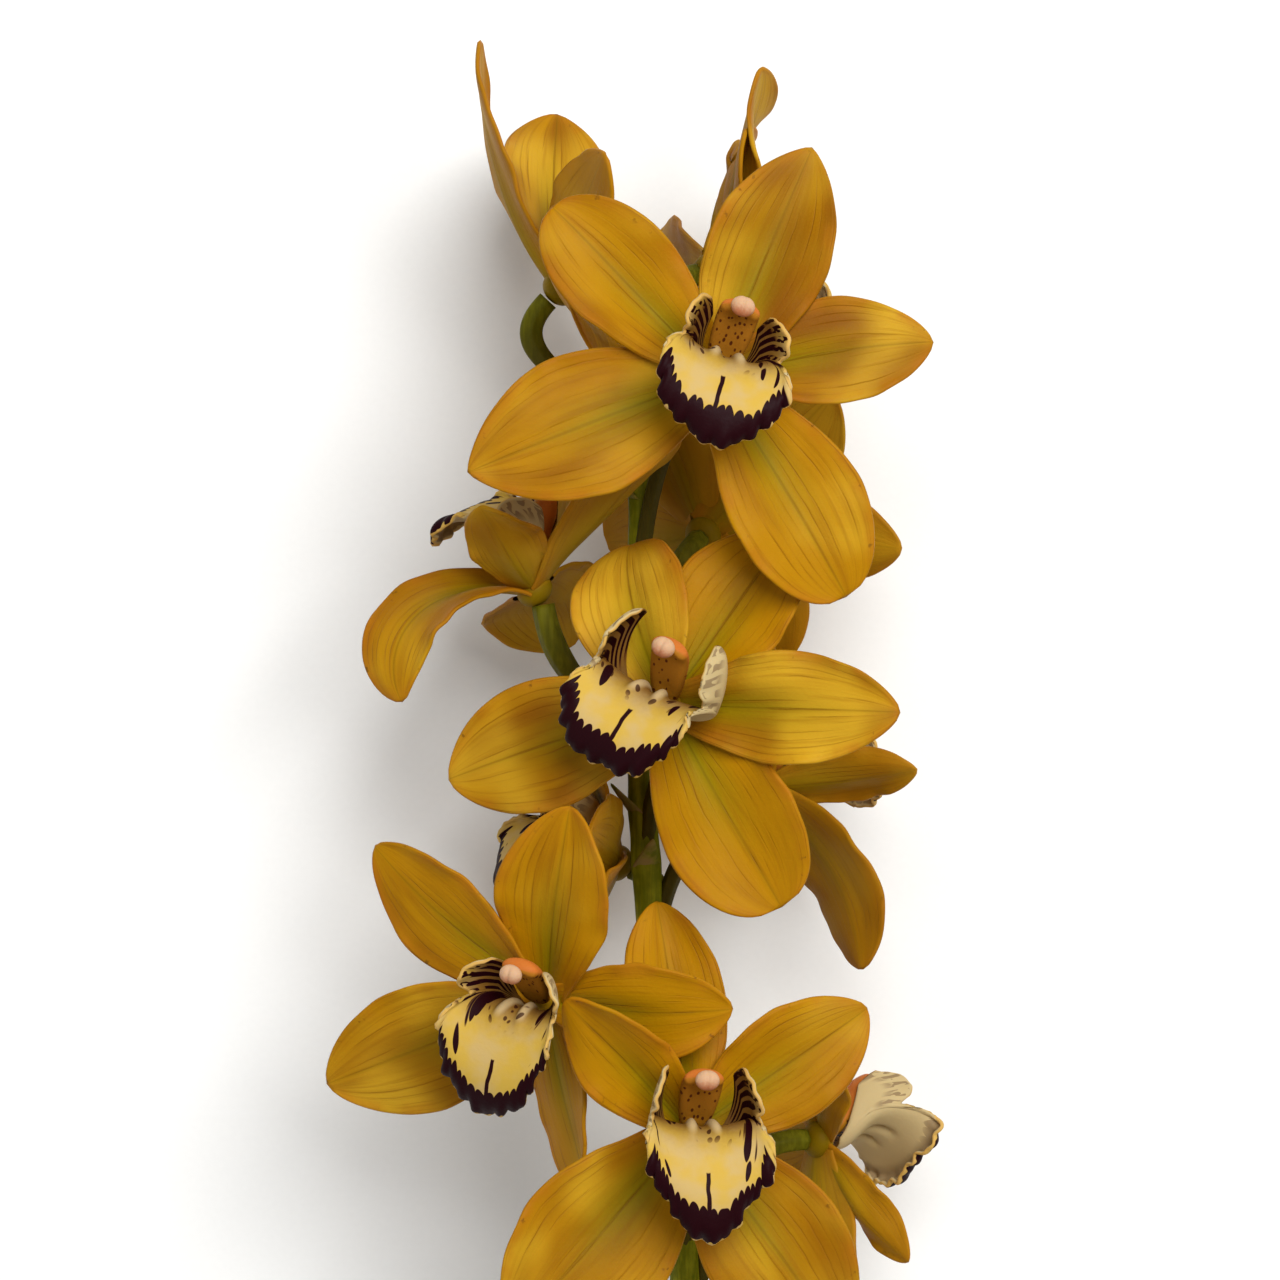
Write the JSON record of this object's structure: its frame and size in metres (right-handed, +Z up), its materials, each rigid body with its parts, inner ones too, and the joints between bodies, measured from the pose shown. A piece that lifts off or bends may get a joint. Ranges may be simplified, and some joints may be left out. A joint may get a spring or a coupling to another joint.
{
  "type": "cymbidium orchid stem",
  "caption": "Cut cymbidium orchid stem lying down: an arched green scape with golden-yellow blooms, each with a maroon-banded lip and an orange column.",
  "frame": {"origin": "centre of the bounding box at the height of the surface that the stem lies on", "axes": "+Y along the stem from its cut end to its tip, +Z up from the surface towards the blooms' faces, +X to the right of someone who looks down on it with the tip away from them"},
  "size_m": [0.1381, 0.5523, 0.1202],
  "materials": {
    "scape": "satin green plant tissue",
    "tepals": "waxy satin, golden yellow",
    "lip": "waxy satin, cream with a maroon band",
    "column": "waxy satin, orange",
    "anther_cap": "satin, pinkish cream"
  },
  "bodies": {
    "root": {"scape": "scape", "bloom_01_tepals": "tepals", "bloom_01_lip": "lip", "bloom_01_column": "column", "bloom_01_anther_cap": "anther_cap", "bloom_02_tepals": "tepals", "bloom_02_lip": "lip", "bloom_02_column": "column", "bloom_02_anther_cap": "anther_cap", "bloom_03_tepals": "tepals", "bloom_03_lip": "lip", "bloom_03_column": "column", "bloom_03_anther_cap": "anther_cap", "bloom_04_tepals": "tepals", "bloom_04_lip": "lip", "bloom_04_column": "column", "bloom_04_anther_cap": "anther_cap", "bloom_05_tepals": "tepals", "bloom_05_lip": "lip", "bloom_05_column": "column", "bloom_05_anther_cap": "anther_cap", "bloom_06_tepals": "tepals", "bloom_06_lip": "lip", "bloom_06_column": "column", "bloom_06_anther_cap": "anther_cap", "bloom_07_tepals": "tepals", "bloom_07_lip": "lip", "bloom_07_column": "column", "bloom_07_anther_cap": "anther_cap", "bloom_08_tepals": "tepals", "bloom_08_lip": "lip", "bloom_08_column": "column", "bloom_08_anther_cap": "anther_cap", "bloom_09_tepals": "tepals", "bloom_09_lip": "lip", "bloom_09_column": "column", "bloom_09_anther_cap": "anther_cap", "bloom_10_tepals": "tepals", "bloom_10_lip": "lip", "bloom_10_column": "column", "bloom_10_anther_cap": "anther_cap", "bloom_11_tepals": "tepals", "bloom_11_lip": "lip", "bloom_11_column": "column", "bloom_11_anther_cap": "anther_cap"}
  },
  "joints": []
}
